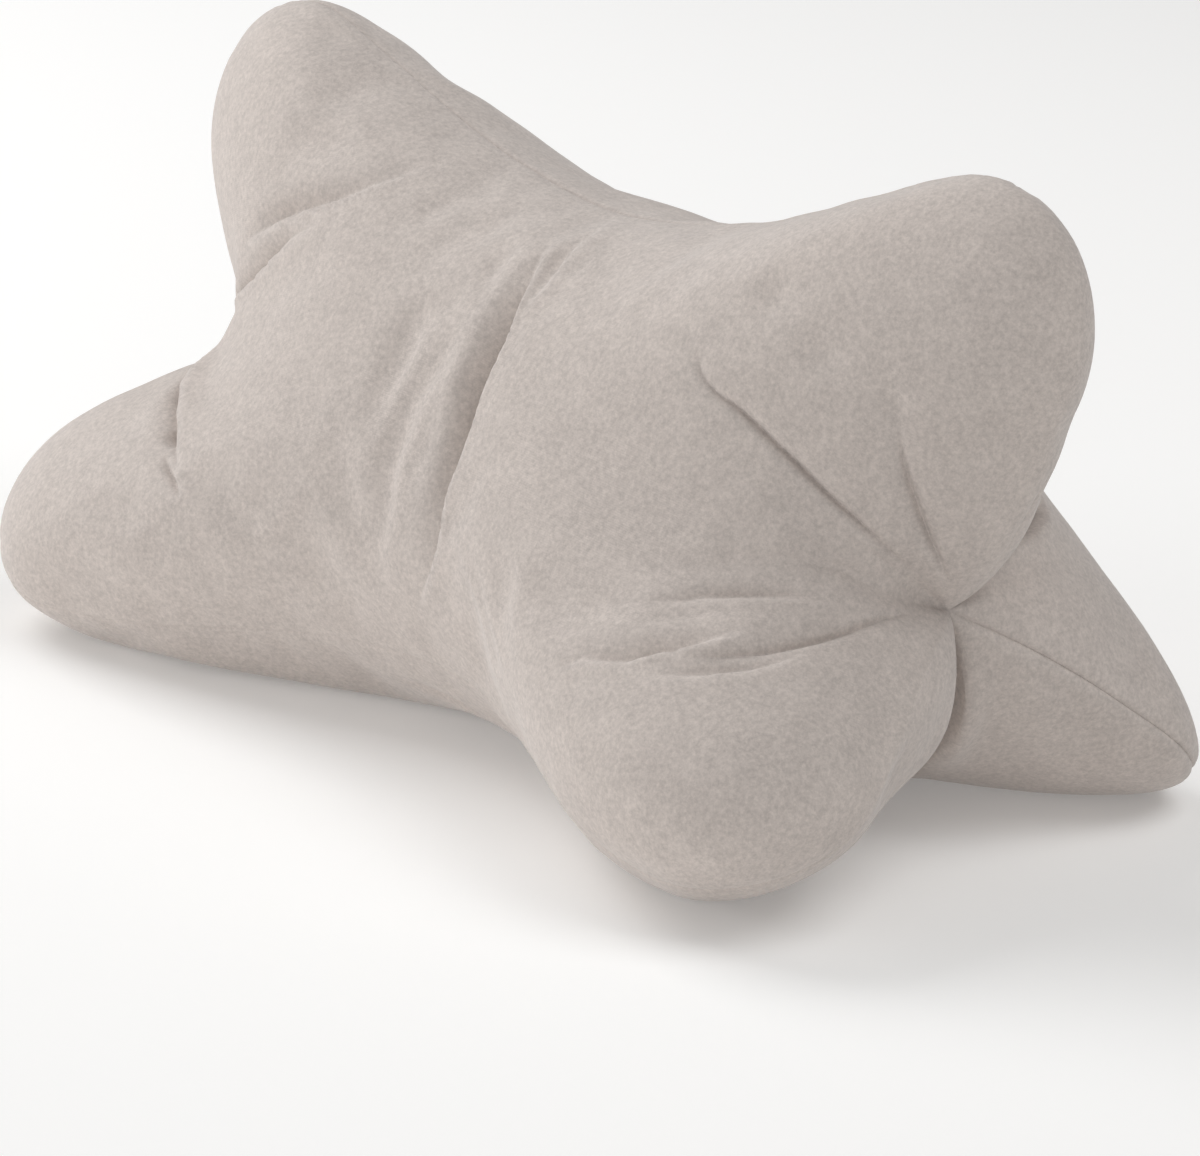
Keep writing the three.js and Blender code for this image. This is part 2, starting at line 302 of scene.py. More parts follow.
def on_panel(name, along, across):
    along, across = np.broadcast_arrays(np.asarray(along, float), np.asarray(across, float))
    placed = np.empty(along.shape + (3,))
    for end in ENDS:
        for side in (1, -1):
            here = ((along <= 1) == (end == "right")) & ((across <= 0.5) == (side == 1))
            share = np.where(along <= 1, along, 2 - along)[here]
            t = 2 * np.where(across <= 0.5, across, 1 - across)[here]
            points = half_panel(name, end, side, share, t)
            points[:, 0] *= 1 if end == "right" else -1
            more = (1 - share / between(MORE_FADE, t)).clip(0, 1)
            pushed = (1 - share / PUSH_FADE).clip(0, 1) ** 2
            pushed = pushed + MORE_PUSH * more ** 2 * (3 - 2 * more)
            placed[here] = points + pushed[:, None] * np.array(POLE_PUSH[end])
    placed[..., 2] += END_LIFT * (placed[..., 0] / END_LIFT_AT) ** 2
    return placed


# %% Seams that wander
# No seam sits quite on the ridge of its lobe. Each row gives how far along, and how far the
# seam has wandered into the panel that it is the first seam of, or, below 0, into the other.
WANDER = {
    "top": [
        (0.0, 0.0), (0.09, -0.012), (0.15, -0.025), (0.175, -0.07), (0.2, -0.098), (0.25, -0.09),
        (0.33, -0.082), (0.41, -0.068), (0.5, -0.035), (0.6, -0.008), (0.8, 0.0), (2.0, 0.0),
    ],
    "front": [
        (0.0, 0.0), (0.03, -0.08), (0.087, -0.082), (0.128, -0.062), (0.162, -0.038),
        (0.195, -0.02), (0.242, 0.015), (0.294, 0.05), (0.35, 0.066), (0.45, 0.06),
        (0.52, 0.048), (0.62, 0.03), (0.8, 0.0), (1.0, -0.018), (1.3, 0.0), (2.0, 0.0),
    ],
    "back": [(0.0, 0.0), (2.0, 0.0)],
}
WANDER_REACH = 0.3      # of the way across, to where a panel feels nothing of it
AFTER = {panel.first: name for name, panel in PANELS.items()}
BEFORE = {panel.second: name for name, panel in PANELS.items()}


def wandered(row_name, along):
    stops, shifts = zip(*WANDER[row_name])
    return np.interp(along, stops, shifts)


def on_cover(name, along, across):
    """Like on_panel, with the panel's two edges moved to where its seams have wandered."""
    panel = PANELS[name]
    near_first = (1 - across / WANDER_REACH).clip(0, 1) ** 2
    near_second = (1 - (1 - across) / WANDER_REACH).clip(0, 1) ** 2
    moved = across + near_first * wandered(panel.first, along)
    moved = moved + near_second * wandered(panel.second, along)
    placed = on_panel(name, along, moved.clip(0, 1))
    over = moved > 1
    placed[over] = on_panel(AFTER[panel.second], along[over], moved[over] - 1)
    under = moved < 0
    placed[under] = on_panel(BEFORE[panel.first], along[under], moved[under] + 1)
    return placed


# %% [markdown]
# ## Sewing the cover
#
# Each panel starts as a plain grid, whose two directions become along and across. The grid is
# bent onto the panel's shape, and the three panels are sewn by merging the points that meet on
# their seams and poles. A subdivided ball would have no seams, and no thread direction for the
# jersey to follow. Lines of the grid crowd towards the seams, where the cloth bends most.

# %% Grid of the cover
ALONG_CELLS = 90
ACROSS_CELLS = 54
CROWD_CELLS = 3.0       # how many cells from a seam the crowding has faded
CROWD_SHIFT = 2.8       # how many cells the crowding takes up
MERGE = 0.02            # mm


def crowd_to_seams(across):
    half = ACROSS_CELLS / 2
    cell = (1 - np.abs(2 * across - 1)) * half
    crowded = (cell - CROWD_SHIFT * (1 - np.exp(-cell / CROWD_CELLS))) / (half - CROWD_SHIFT) / 2
    return np.where(across <= 0.5, crowded, 1 - crowded)


def cut_panel(cover, place, name, index):
    made = bmesh.ops.create_grid(
        cover, x_segments=ALONG_CELLS, y_segments=ACROSS_CELLS, size=1
    )["verts"]
    flat = np.array([v.co for v in made])
    along = flat[:, 0] + 1
    across = crowd_to_seams((flat[:, 1] + 1) / 2)
    spot = {v: (a / 2, index + b) for v, a, b in zip(made, along, across)}
    for face in {f for v in made for f in v.link_faces}:
        for loop in face.loops:
            loop[place].uv = spot[loop.vert]
    for v, point in zip(made, on_cover(name, along, across)):
        v.co = point


cover = bmesh.new()
place = cover.loops.layers.uv.new("place")
for index, name in enumerate(PANELS):
    cut_panel(cover, place, name, index)
bmesh.ops.remove_doubles(cover, verts=cover.verts, dist=MERGE)
bmesh.ops.recalc_face_normals(cover, faces=cover.faces)
print("cover:", len(cover.verts), "points,", len(cover.faces), "faces, open edges:",
      sum(not e.is_manifold for e in cover.edges))

# %% Into the frame
# The cover's own box is centred on the solid's, and its axis lies STAND above the floor.
points = np.array([v.co for v in cover.verts])
middle = (points.min(0) + points.max(0)) / 2
cad_middle = np.array((cad_low + cad_high) / 2) / MM
shift = np.array([cad_middle[0] - middle[0], cad_middle[1] - middle[1], STAND])
print("axis lies at", shift)


def in_frame(points):
    return (points + shift) * MM


pillow_mesh = bpy.data.meshes.new("pillow_cover")
for v in cover.verts:
    v.co = in_frame(np.array(v.co))
cover.to_mesh(pillow_mesh)
cover.free()
pillow = bpy.data.objects.new("pillow_cover", pillow_mesh)
scene.collection.objects.link(pillow)


# %% Reading and writing a mesh
def read_points(mesh):
    flat = np.empty(len(mesh.vertices) * 3)
    mesh.vertices.foreach_get("co", flat)
    return flat.reshape(-1, 3)


def write_points(mesh, points):
    mesh.vertices.foreach_set("co", points.ravel())
    mesh.update()


def read_normals(mesh):
    flat = np.empty(len(mesh.vertices) * 3, np.float32)
    mesh.vertex_normals.foreach_get("vector", flat)
    return flat.reshape(-1, 3).astype(float)


def read_flat(mesh, layer):
    """Where each corner of each face lies on a flat layer of the mesh."""
    flat = np.empty(len(mesh.loops) * 2, np.float32)
    mesh.uv_layers[layer].uv.foreach_get("vector", flat)
    return flat.reshape(-1, 2)


def places(mesh):
    """Panel number, along and across of every point, read back from the sewing grid."""
    corner = np.empty(len(mesh.loops), np.int32)
    mesh.loops.foreach_get("vertex_index", corner)
    found = np.empty((len(mesh.vertices), 2))
    found[corner] = read_flat(mesh, "place")
    panel = np.clip(np.floor(found[:, 1]), 0, len(PANELS) - 1).astype(int)
    return panel, 2 * found[:, 0], (found[:, 1] - panel).clip(0, 1)


# %% [markdown]
# ## The creases
#
# On the real pillow the cloth is drawn together at the poles and nipped in round the waist, and
# what is too much there lies in creases. Simulated cloth would crease too, but at random. These
# lie where the real ones do, as far as those show, each along a line of places on its panel: a
# soft trough with a width to either side, a keen line pressed into its bottom, and sometimes a
# lip, a raised edge beside it.

# %% What a crease is
# Left and right are as seen from outside, looking from a crease's first place to its last, and
# are how far its trough reaches to each side. Crisp is how sharply its narrower side breaks
# off, keen a fine line pressed into the bottom, and lip a raised edge above the narrower side.
# Peak is the share of the way along at which it is deepest. A depth below 0 makes a ridge. At
# holds its places, along and across in thousandths. The other sizes are in millimetres.
THOUSANDTHS = 1000
Crease = namedtuple(
    "Crease", "depth left right at crisp keen lip peak", defaults=(2.0, 0.0, 0.0, 0.5)
)

# %% Creases of the front panel, at the right end
RIGHT_END_CREASES = [
    # Drawn out of the right pole between the belly and the top lobe, and into that lobe.
    Crease(2.2, 18, 7, keen=3.6, at=[
        (60, 318), (89, 342), (126, 359), (166, 371), (216, 376), (264, 382), (319, 385),
        (352, 386), (377, 389), (404, 388), (425, 385), (445, 378), (475, 365),
    ]),
    Crease(2.4, 8, 7, keen=3.0, at=[
        (50, 150), (69, 177), (91, 199), (115, 213), (146, 222), (176, 225), (206, 225),
        (235, 224),
    ]),
    Crease(1.6, 6, 5, keen=0.6, peak=0.3, at=[
        (220, 224), (250, 227), (286, 229), (320, 230), (350, 235),
    ]),
    # The belly comes out to the pole, with soft creases and crisp ones below it.
    Crease(-3.5, 22, 22, peak=0.35, at=[(10, 450), (100, 460), (300, 480)]),
    Crease(1.4, 6, 6, keen=0.8, at=[(50, 480), (66, 502), (98, 534), (143, 548), (191, 555)]),
    Crease(2.0, 7, 7, at=[(110, 561), (155, 571), (218, 584), (290, 591), (352, 597), (400, 600)]),
    Crease(3.2, 3, 6, crisp=3.0, keen=0.9, lip=1.0, at=[
        (120, 656), (158, 651), (196, 644), (235, 638), (279, 635), (306, 639), (344, 642),
        (385, 647),
    ]),
    Crease(2.2, 5, 7, at=[(230, 670), (271, 668), (307, 665), (343, 665), (383, 671), (430, 678)]),
    Crease(3.0, 4, 8, crisp=2.5, keen=3.0, lip=0.3, at=[
        (60, 775), (99, 763), (127, 760), (150, 761), (203, 755), (252, 747), (290, 741),
        (340, 734),
    ]),
    Crease(4.8, 2.8, 8, crisp=3.0, keen=0.6, lip=1.4, peak=0.45, at=[
        (245, 708), (276, 709), (310, 709), (350, 712), (380, 714), (413, 720), (449, 722),
        (500, 727), (556, 755), (590, 775),
    ]),
    Crease(3.8, 2.8, 6.5, crisp=3.0, keen=0.6, lip=1.0, at=[
        (200, 780), (232, 775), (262, 770), (291, 763), (318, 757), (340, 755), (368, 752),
        (410, 748),
    ]),
    # Dents in the top right lobe.
    Crease(2.2, 8, 8, at=[(520, 265), (470, 285), (420, 303)]),
    Crease(2.0, 7, 7, at=[(400, 285), (360, 282), (320, 270)]),
]

# %% Creases of the front panel, round the waist
WAIST_CREASES = [
    # The deep one, the pleat that runs into its upper end, a short fold beside that, two broad
    # ones further left, a ridge between, and soft ones above.
    Crease(10.0, 2.8, 9, crisp=3.0, keen=0.8, lip=1.2, peak=0.42, at=[
        (1000, 140), (990, 185), (979, 230), (965, 280), (947, 330), (931, 373), (919, 409),
        (911, 451), (902, 479), (891, 509), (888, 552), (899, 599), (906, 641), (916, 690),
        (930, 740), (950, 790), (970, 840), (985, 880),
    ]),
    Crease(2.4, 3, 7, crisp=3.0, keen=0.4, lip=1.6, peak=0.55, at=[
        (985, 50), (972, 112), (962, 172), (948, 230), (930, 285), (923, 330),
    ]),
    Crease(1.0, 2.5, 3, keen=0.3, lip=0.2, at=[(925, 170), (915, 215), (900, 250)]),
    Crease(2.8, 6, 9, lip=0.2, peak=0.55, at=[
        (1033, 300), (1038, 358), (1047, 399), (1058, 439), (1077, 471), (1090, 499), (1088, 526),
        (1080, 555), (1076, 588), (1066, 619), (1053, 654), (1045, 711), (1043, 790), (1050, 850),
        (1060, 900),
    ]),
    Crease(2.2, 7, 10, peak=0.55, at=[
        (1120, 320), (1150, 360), (1171, 413), (1174, 441), (1180, 468), (1185, 500), (1178, 532),
        (1165, 570),
    ]),
    Crease(-1.4, 6, 6, at=[(995, 340), (985, 420), (980, 520)]),
    Crease(1.5, 5, 7, at=[(1165, 140), (1180, 177), (1198, 216), (1230, 268), (1270, 315)]),
    Crease(1.2, 4, 6, at=[(1085, 70), (1087, 113), (1091, 170), (1097, 217), (1110, 280)]),
    Crease(1.4, 3.5, 5, keen=0.2, peak=0.6, at=[
        (1020, 160), (1030, 217), (1038, 255), (1041, 292), (1040, 340),
    ]),
]

# %% Creases of the front panel, at the left end
LEFT_END_CREASES = [
    # Drawn out of the left pole, between the top lobe and the belly.
    Crease(3.6, 5, 2.8, crisp=3.0, keen=1.4, lip=1.0, peak=0.4, at=[
        (1850, 408), (1781, 412), (1730, 409), (1689, 403), (1653, 396), (1620, 389), (1588, 383),
        (1540, 376), (1500, 368),
    ]),
    Crease(4.8, 6, 3, crisp=3.0, keen=0.6, lip=1.3, peak=0.35, at=[
        (1740, 355), (1669, 358), (1617, 356), (1556, 349), (1497, 338), (1425, 312), (1358, 273),
        (1299, 227), (1254, 176), (1220, 140),
    ]),
    # The belly hangs over the front lobe of the left end, with deep nips under its edge.
    Crease(6.5, 4, 6.5, crisp=2.5, keen=2.5, lip=0.4, peak=0.45, at=[
        (1930, 600), (1850, 620), (1790, 634), (1741, 644), (1692, 644), (1645, 648), (1591, 655),
        (1548, 662), (1500, 675),
    ]),
    Crease(-4.5, 8, 8, at=[
        (1900, 570), (1820, 592), (1750, 612), (1670, 622), (1600, 631), (1530, 645),
    ]),
    Crease(5.5, 2.5, 2.5, keen=1.0, at=[(1800, 650), (1757, 645), (1715, 643)]),
    Crease(4.5, 2.5, 2.5, keen=1.0, at=[(1650, 650), (1620, 652), (1590, 658)]),
    # Creases run on from there, over the lobe and under the belly.
    Crease(1.8, 2.5, 3.5, keen=2.4, at=[
        (1580, 667), (1557, 674), (1516, 681), (1479, 691), (1440, 707),
    ]),
    Crease(-1.2, 2.5, 2.5, peak=0.4, at=[
        (1560, 664), (1487, 678), (1420, 701), (1378, 720), (1335, 745),
    ]),
    Crease(2.4, 8, 9, peak=0.4, at=[
        (1560, 648), (1457, 671), (1376, 700), (1327, 720), (1286, 742), (1215, 823), (1187, 894),
        (1176, 966),
    ]),
]

# %% Creases of the bottom panel
BOTTOM_CREASES = [
    # Between the feet of each end, where the near ones press together into a dark slot,
    # and beside the front seam at the waist.
    Crease(12.0, 2.6, 2.6, keen=5.0, at=[
        (12, 620), (22, 620), (40, 600), (60, 577), (83, 556), (113, 552), (143, 562), (200, 585),
        (270, 605),
    ]),
    Crease(-8.0, 9, 7, peak=0.4, at=[
        (14, 860), (27, 790), (50, 725), (67, 686), (100, 645), (150, 638), (200, 650),
        (270, 665),
    ]),
    Crease(5.5, 8, 8, keen=2.0, peak=0.4, at=[(1980, 460), (1900, 450), (1760, 470)]),
    Crease(3.4, 5, 6, keen=0.8, at=[
        (1080, 75), (1041, 89), (1023, 100), (1002, 106), (975, 125), (940, 160),
    ]),
    Crease(2.5, 9, 9, keen=0.4, at=[(930, 720), (950, 840), (930, 960)]),
    # The side of the front right lobe swells over its seam.
    Crease(-4.5, 10, 10, at=[(30, 120), (100, 150), (220, 180)]),
]

# %% Creases of the back panel
BACK_CREASES = [
    # Where the top right lobe presses on the back one, a dark slot between them.
    Crease(7.5, 2.6, 2.6, keen=4.0, peak=0.4, at=[
        (185, 444), (158, 436), (135, 442), (118, 450), (95, 457), (78, 472), (55, 495),
    ]),
    Crease(4.2, 12, 7, keen=2.0, peak=0.4, at=[
        (220, 600), (280, 610), (340, 620), (400, 635), (480, 650),
    ]),
    Crease(3.2, 6, 12, keen=1.8, peak=0.4, at=[
        (280, 360), (340, 355), (400, 350), (460, 340), (520, 330),
    ]),
    Crease(4.2, 6, 12, keen=2.0, peak=0.4, at=[
        (1950, 620), (1870, 612), (1780, 610), (1650, 622), (1520, 640),
    ]),
    Crease(3.8, 12, 6, keen=1.2, peak=0.4, at=[
        (1940, 330), (1850, 352), (1760, 360), (1630, 350), (1500, 330),
    ]),
    Crease(4.8, 12, 3.5, crisp=3.0, keen=0.4, lip=0.6, at=[
        (1050, 140), (1070, 300), (1090, 500), (1080, 680), (1050, 860),
    ]),
    Crease(3.2, 8, 10, keen=0.3, at=[(910, 260), (875, 380), (870, 520), (885, 660), (915, 800)]),
]
CREASES = {
    "front": RIGHT_END_CREASES + WAIST_CREASES + LEFT_END_CREASES,
    "bottom": BOTTOM_CREASES,
    "back": BACK_CREASES,
}
print("creases:", {name: len(rows) for name, rows in CREASES.items()})

# %% [markdown]
# A crease's places are joined by a smooth curve, and the curve is laid on the panel. How deep a
# point of the cloth sinks depends on how far it is from that curve, on which side, and on how
# far along its nearest point lies. The distances are measured on the smooth pattern, so creases
# neither pile up nor slip when one sinks the cloth before another.

# %% The line of a crease
LINE_STEPS = 90
SPOT_STEP = 0.004       # along or across, to the neighbours that show which way is out
REACH = 3.2             # widths beyond which a crease isn't felt
Line = namedtuple("Line", "points ways lefts run")


def smooth_curve(stops, steps):
    """Catmull-Rom curve through the stops."""
    stops = np.asarray(stops, float)
    ends = np.concatenate([[2 * stops[0] - stops[1]], stops, [2 * stops[-1] - stops[-2]]])
    u = np.linspace(0, len(stops) - 1, steps)
    k = np.minimum(u.astype(int), len(stops) - 2)
    s = (u - k)[:, None]
    a, b, c, d = (ends[k + i] for i in range(4))
    return 0.5 * (
        2 * b + (c - a) * s + (2 * a - 5 * b + 4 * c - d) * s ** 2
        + (3 * b - a - 3 * c + d) * s ** 3
    )


def lay_line(name, stops):
    spots = smooth_curve(stops, LINE_STEPS)
    points = on_panel(name, spots[:, 0], spots[:, 1].clip(0, 1))
    ways = np.gradient(points, axis=0)
    ways /= np.linalg.norm(ways, axis=1, keepdims=True)
    step = np.where(spots[:, 1] < 0.5, SPOT_STEP, -SPOT_STEP)
    beside = on_panel(name, spots[:, 0] + SPOT_STEP, spots[:, 1].clip(0, 1)) - points
    across = on_panel(name, spots[:, 0], spots[:, 1].clip(0, 1) + step) - points
    out = np.cross(beside, across * np.sign(step)[:, None])
    out /= np.linalg.norm(out, axis=1, keepdims=True)
    return Line(points, ways, np.cross(out, ways), share_of_length(points))


def near_line(rest, line, reach):
    """Points of the pattern within reach of a line: which, how far to its left, how far along."""
    low = line.points.min(0) - reach
    high = line.points.max(0) + reach
    which = np.where(((rest > low) & (rest < high)).all(1))[0]
    gap = rest[which, None] - line.points[None]
    nearest = np.linalg.norm(gap, axis=2).argmin(1)
    away = gap[np.arange(len(which)), nearest]
    away -= line.ways[nearest] * (away * line.ways[nearest]).sum(1)[:, None]
    distance = np.linalg.norm(away, axis=1)
    side = np.sign((away * line.lefts[nearest]).sum(1))
    close = distance < reach
    return which[close], (side * distance)[close], line.run[nearest][close]


# %% The depth of a crease
def rise(run, peak):
    return np.where(run < peak, run / peak, (1 - run) / (1 - peak)).clip(0, 1)


def rise_and_fall(run, peak):
    return rise(run, peak) ** 2 * (3 - 2 * rise(run, peak))


ROUND = 2.0             # the power of a soft, bell-shaped side
KEEN_WIDTH = 1.7        # of the fine line, to either side
KEEN_POWER = 1.5        # and how crisp it is
KEEN_ONSET = 3          # how soon it is fully there on the way in from a crease's ends
LIP_AT, LIP_WIDTH = 1.9, 0.7    # in widths of the narrower side


def crease_depth(crease, left, run):
    narrow = min(crease.left, crease.right)
    narrow_side = left if crease.left <= crease.right else -left
    width = np.where(left > 0, crease.left, crease.right)
    power = np.where(narrow_side > 0, crease.crisp, ROUND)
    soft = crease.depth * np.exp(-(np.abs(left) / width) ** power)
    fine = crease.keen * np.exp(-(np.abs(left) / KEEN_WIDTH) ** KEEN_POWER)
    fine -= crease.lip * np.exp(-((narrow_side / narrow - LIP_AT) / LIP_WIDTH) ** 2)
    to_the_ends = 1 - (1 - rise(run, crease.peak)) ** KEEN_ONSET
    return soft * rise_and_fall(run, crease.peak) + fine * to_the_ends


LINES = [
    (crease, lay_line(name, np.array(crease.at) / THOUSANDTHS))
    for name, rows in CREASES.items()
    for crease in rows
]
for name, rows in CREASES.items():
    lengths = [line_length(line.points) for crease, line in LINES if crease in rows]
    print(f"{name} panel: {len(rows)} creases, the longest {max(lengths):.0f} mm")

# %% [markdown]
# ## Filling the cover
#
# Filling pushes the cloth out between whatever holds it: the seams, the poles and the bottoms
# of the creases. This is what Blender's Cloth with pressure does well. The cover starts a little
# slack, its held points are pinned, and twenty frames of pressure round the cloth between them.
# How far a point may move is capped, so that the lobes keep their places.

# %% What holds the cloth
SEAM_GRIP = 6.0         # mm over which the hold of a seam fades
CREASE_GRIP = 7.0       # and of a crease, which holds fully if it is HOLDING_DEPTH deep
HOLDING_DEPTH = 4.0
POLE_GRIP = 0.05        # of the way to the waist, over which the hold of a pole fades
POLE_END = 1.5          # POLE_GRIPs from the pole, where it is gone


def on_pattern(panel, along, across):
    placed = np.empty((len(panel), 3))
    for index, name in enumerate(PANELS):
        here = panel == index
        placed[here] = on_cover(name, along[here], across[here])
    return placed


def rest_points(mesh):
    panel, along, across = places(mesh)
    return on_pattern(panel, along, across), panel, along, across


def seam_gap(panel, along, across, rest):
    """Distance of each point from its nearer seam, on the pattern."""
    return np.linalg.norm(rest - on_pattern(panel, along, np.round(across)), axis=1)


def hold(mesh):
    rest, panel, along, across = rest_points(mesh)
    held = np.exp(-(seam_gap(panel, along, across, rest) / SEAM_GRIP) ** 2)
    for crease, line in LINES:
        if crease.depth > 0:
            which, left, run = near_line(rest, line, 2 * CREASE_GRIP)
            grip = np.exp(-(left / CREASE_GRIP) ** 2) * rise_and_fall(run, crease.peak)
            held[which] = np.maximum(held[which], grip * min(1, crease.depth / HOLDING_DEPTH))
    pole = np.minimum(along, 2 - along)
    return np.maximum(held, (POLE_END - pole / POLE_GRIP).clip(0, 1))


# %% Cloth with pressure
SLACK = 0.008           # share by which the cut cloth is larger than its pattern
CLOTH_SETTINGS = {
    "quality": 5,
    "mass": 0.01,       # kg for each point
    "tension_stiffness": 20,
    "compression_stiffness": 20,
    "shear_stiffness": 8,
    "bending_stiffness": 1.0,
    "use_pressure": True,
    "uniform_pressure_force": 8.0,
    "pin_stiffness": 2,
    "shrink_min": -SLACK,
    "shrink_max": -SLACK,
}
FRAMES = 20
LEAST_HOLD = 0.02       # a point that is held less than this is free
CAP = 7.0               # mm that the filling may move a point


def fill_cover(pillow):
    mesh = pillow.data
    start = read_points(mesh)
    group = pillow.vertex_groups.new(name="held")
    for index, weight in enumerate(hold(mesh)):
        if weight > LEAST_HOLD:
            group.add([index], float(weight), "REPLACE")
    cloth = pillow.modifiers.new("filling", "CLOTH")
    for name, value in CLOTH_SETTINGS.items():
        setattr(cloth.settings, name, value)
    cloth.settings.effector_weights.gravity = 0
    cloth.settings.vertex_group_mass = group.name
    cloth.collision_settings.use_collision = False
    for frame_number in range(1, FRAMES + 1):
        scene.frame_set(frame_number)
    bpy.context.view_layer.objects.active = pillow
    bpy.ops.object.modifier_apply(modifier=cloth.name)
    pillow.vertex_groups.clear()
    moved = read_points(mesh) - start
    size = np.linalg.norm(moved, axis=1, keepdims=True)
    cap = CAP * MM
    capped = moved * cap * np.tanh(size / cap) / np.maximum(size, 1e-9)
    write_points(mesh, start + capped)
    print(f"filling moved the cloth {size.mean() / MM:.1f} mm, at most {size.max() / MM:.1f}")


fill_cover(pillow)

# %% [markdown]
# ## The flat pattern of the jersey
#
# Jersey is cut flat, so its knit runs straight on the flat piece and bends with it on the lobes.
# Unwrapping each panel along its seams gives that flat piece back. It is scaled to real metres
# and turned so that the knit's columns run along the pillow.

# %% Unwrap into metres
PANELS_APART = 0.6      # metres from one flat panel to the next


def flatten_panels(pillow):
    mesh = pillow.data
    mesh.uv_layers.new(name="cloth")
    mesh.uv_layers["cloth"].active = True
    panel = face_panels(mesh)
    edge_faces = {}
    for face in mesh.polygons:
        for key in face.edge_keys:
            edge_faces.setdefault(key, []).append(face.index)
    for edge in mesh.edges:
        sides = edge_faces[tuple(sorted(edge.vertices))]
        edge.use_seam = bool(panel[sides[0]] != panel[sides[-1]])
    bpy.context.view_layer.objects.active = pillow
    pillow.select_set(True)
    bpy.ops.object.mode_set(mode="EDIT")
    bpy.ops.mesh.select_all(action="SELECT")
    bpy.ops.uv.unwrap(method="ANGLE_BASED", margin=0.01)
    bpy.ops.object.mode_set(mode="OBJECT")
    scale_to_cloth(mesh, panel)


def face_panels(mesh):
    spot = read_flat(mesh, "place")
    middles = [spot[list(f.loop_indices), 1].mean() for f in mesh.polygons]
    return np.floor(np.array(middles))


def scale_to_cloth(mesh, panel):
    flat = read_flat(mesh, "cloth")
    spot = read_flat(mesh, "place")
    for index, name in enumerate(PANELS):
        faces = [f for f, p in zip(mesh.polygons, panel) if p == index]
        loops = np.array([i for f in faces for i in f.loop_indices])
        real = sum(f.area for f in faces)
        drawn = sum(corner_area(flat[list(f.loop_indices)]) for f in faces)
        local = flat[loops] - flat[loops].mean(0)
        run = np.linalg.lstsq(local, spot[loops, 0] - spot[loops, 0].mean(), rcond=None)[0]
        turn = math.atan2(run[1], run[0])
        spin = np.array([[math.cos(turn), -math.sin(turn)], [math.sin(turn), math.cos(turn)]])
        flat[loops] = local @ spin * math.sqrt(real / abs(drawn)) + (0, PANELS_APART * index)
        wide = np.ptp(flat[loops], axis=0)
        print(f"{name} panel cut from {wide[0]:.2f} by {wide[1]:.2f} m of jersey")
    mesh.uv_layers["cloth"].uv.foreach_set("vector", flat.ravel())


def corner_area(corners):
    x, y = corners.T
    return 0.5 * (x @ np.roll(y, -1) - y @ np.roll(x, -1))


flatten_panels(pillow)

# %% [markdown]
# ## Finer cloth for the creases
#
# A keen crease is two or three millimetres wide, finer than the sewing grid. More levels of
# subdivision would make the whole cover heavy. So one level halves the grid everywhere, and
# three more cuts, each in a narrower strip, are made only along the creases that need them.

# %% Subdivide
def subdivide(pillow):
    finer = pillow.modifiers.new("finer", "SUBSURF")
    finer.levels = finer.render_levels = 1
    finer.uv_smooth = "NONE"
    bpy.context.view_layer.objects.active = pillow
    bpy.ops.object.modifier_apply(modifier=finer.name)


subdivide(pillow)
print("subdivided cover:", len(pillow.data.polygons), "faces")

# %% Cut finer along the keen creases
# Reach is how far a cut goes to either side of a crease, and keen how much keen line and lip the
# crease must have, both in millimetres.
Cut = namedtuple("Cut", "reach keen")
CUTS = [Cut(6.0, 1.0), Cut(3.0, 1.0), Cut(1.6, 2.4)]


def cut_along_creases(mesh, cut):
    rest = rest_points(mesh)[0]
    fine = np.zeros(len(rest), bool)
    for crease, line in LINES:
        if crease.keen + crease.lip >= cut.keen:
            which = near_line(rest, line, cut.reach)[0]
            fine[which] = True
    work = bmesh.new()
    work.from_mesh(mesh)
    edges = [e for e in work.edges if fine[e.verts[0].index] and fine[e.verts[1].index]]
    bmesh.ops.subdivide_edges(work, edges=edges, cuts=1, use_grid_fill=True)
    work.to_mesh(mesh)
    work.free()
    mesh.update()


for cut in CUTS:
    cut_along_creases(pillow.data, cut)
    print("finer cover:", sum(len(f.vertices) - 2 for f in pillow.data.polygons), "triangles")

# %% [markdown]
# ## Laying the creases, the seams and the puckers
#
# Now every point sinks or rises along its own normal. Sculpting could do it too, but could not
# be repeated. The seams are drawn in to a fine groove between their two rounded edges. Where a
# seam turns round a lobe, its thread takes up the fullness in short puckers across it, which a
# loop scatters unevenly from a fixed seed.

# %% Puckers across the seams
SEED = 7
PUCKERS_PER_LOBE = 9
PUCKERED = ((0.28, 0.80), (1.20, 1.72))     # the stretches of a seam, along it
PUCKER_LENGTH = (0.035, 0.10)               # of the way across a panel
PUCKER_DRIFT = (-0.03, 0.03)                # along the seam, from its one end to its other
PUCKER_DEPTH = (0.25, 0.9)                  # mm
PUCKER_WIDTH = (2.5, 4.5)
PUCKER_PEAK = 0.2
draw = np.random.default_rng(SEED)


def pucker_lines():
    made = []
    for name in PANELS:
        for seam_across, way in ((0, 1), (1, -1)):
            for stretch in PUCKERED:
                for k in range(PUCKERS_PER_LOBE):
                    along = draw.uniform(*stretch)
                    length = draw.uniform(*PUCKER_LENGTH)
                    drift = draw.uniform(*PUCKER_DRIFT)
                    depth = draw.uniform(*PUCKER_DEPTH)
                    width = draw.uniform(*PUCKER_WIDTH)
                    stops = [
                        (along, seam_across),
                        (along + drift / 2, seam_across + way * length / 2),
                        (along + drift, seam_across + way * length),
                    ]
                    crease = Crease(depth, width, width, stops, peak=PUCKER_PEAK)
                    made.append((crease, lay_line(name, stops)))
    return made


PUCKERS = pucker_lines()
print("puckers:", len(PUCKERS))

